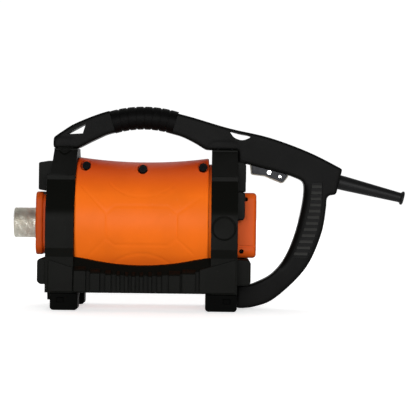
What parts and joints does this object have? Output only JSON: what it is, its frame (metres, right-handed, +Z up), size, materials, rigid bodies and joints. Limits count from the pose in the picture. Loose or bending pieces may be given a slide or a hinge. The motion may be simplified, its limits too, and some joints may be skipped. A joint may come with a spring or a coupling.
{
  "type": "concrete vibrator",
  "caption": "Hand-held electric concrete vibrator: waisted orange motor barrel in a black carrying cage with top and rear grips, trigger, threaded hose spigot and cable boot.",
  "frame": {"origin": "middle of the box on the floor the feet stand on", "axes": "+X along the motor axis towards the cable end, -X towards the hose spigot, +Z up"},
  "size_m": [0.4666, 0.174, 0.2403],
  "materials": {
    "black_nylon": "glass-filled nylon, fine grain, scuffed edges",
    "orange_shell": "moulded nylon, satin",
    "handle_plastic": "moulded nylon, fine grain",
    "black_plastic": "moulded, satin",
    "grip_rubber": "soft grip rubber, ribbed",
    "foot_rubber": "hard rubber, matt",
    "boot_rubber": "flexible sleeve rubber, satin",
    "zinc_steel": "zinc plated",
    "blued_steel": "blued steel",
    "turned_steel": "turned, threaded",
    "ground_steel": "ground",
    "bearing_steel": "polished",
    "bright_steel": "polished pin",
    "spring_steel": "drawn wire",
    "lamination_steel": "stacked sheets",
    "copper_wire": "enamelled wire",
    "copper_bar": "bare copper bars",
    "brass": "stamped",
    "carbon": "pressed carbon",
    "trigger_metal": "grey coated steel",
    "red_plastic": "moulded",
    "yellow_plastic": "moulded",
    "cream_plastic": "moulded"
  },
  "bodies": {
    "frame": {"cage_left": "black_nylon", "cage_right": "black_nylon", "cage_screws": "zinc_steel", "housing_left": "orange_shell", "housing_right": "orange_shell", "housing_screws": "blued_steel", "front_flange": "orange_shell", "flange_screws": "zinc_steel", "hose_spigot": "turned_steel", "rear_cover": "orange_shell", "rear_cover_screws": "zinc_steel", "stator_core": "lamination_steel", "stator_coils": "copper_wire", "front_bearing_outer": "bearing_steel", "rear_bearing_outer": "bearing_steel", "brush_holders": "brass", "carbon_brushes": "carbon", "brush_springs": "spring_steel", "brush_caps": "black_plastic", "brush_plug_left": "black_plastic", "brush_plug_right": "black_plastic", "handle_left": "handle_plastic", "handle_right": "handle_plastic", "handle_screws": "zinc_steel", "handle_base_screws": "zinc_steel", "handle_sleeve": "grip_rubber", "grip_inlay_left": "grip_rubber", "grip_inlay_right": "grip_rubber", "front_foot_left": "foot_rubber", "front_foot_right": "foot_rubber", "rear_foot_left": "foot_rubber", "rear_foot_right": "foot_rubber", "foot_screws": "zinc_steel", "trigger_pin": "bright_steel", "trigger_spring": "spring_steel", "switch_body": "black_plastic", "suppressor": "yellow_plastic", "terminal_block": "cream_plastic", "cable_clamp": "black_plastic", "clamp_screws": "zinc_steel", "cable_boot": "boot_rubber"},
    "rotor": {"rotor_shaft": "ground_steel", "armature_core": "lamination_steel", "armature_windings": "copper_wire", "commutator": "copper_bar", "cooling_fan": "black_nylon", "drive_coupling": "ground_steel", "front_bearing_inner": "bearing_steel", "rear_bearing_inner": "bearing_steel", "front_bearing_balls": "bearing_steel", "rear_bearing_balls": "bearing_steel"},
    "trigger": {"trigger": "trigger_metal", "trigger_rivet": "bright_steel"},
    "plunger": {"switch_plunger": "red_plastic"}
  },
  "joints": [
    {"name": "rotor_spin", "type": "hinge", "parent": "frame", "child": "rotor", "pos_m": [0, 0, 0.1], "axis": [1, 0, 0], "continuous": true},
    {"name": "trigger_pull", "type": "hinge", "parent": "frame", "child": "trigger", "pos_m": [0.0835, 0, 0.1584], "axis": [0, 1, 0], "range_deg": [0, 8.5], "stiffness_Nm_per_rad": 0.6, "springref_deg": -20.05},
    {"name": "plunger_slide", "type": "slide", "parent": "frame", "child": "plunger", "axis": [0, 0, 1], "range_m": [0, 0.00425], "deforming": ["trigger_spring"]}
  ],
  "couplings": [
    {"joint": "plunger_slide", "follows": "trigger_pull", "m_per_rad": 0.0275}
  ]
}
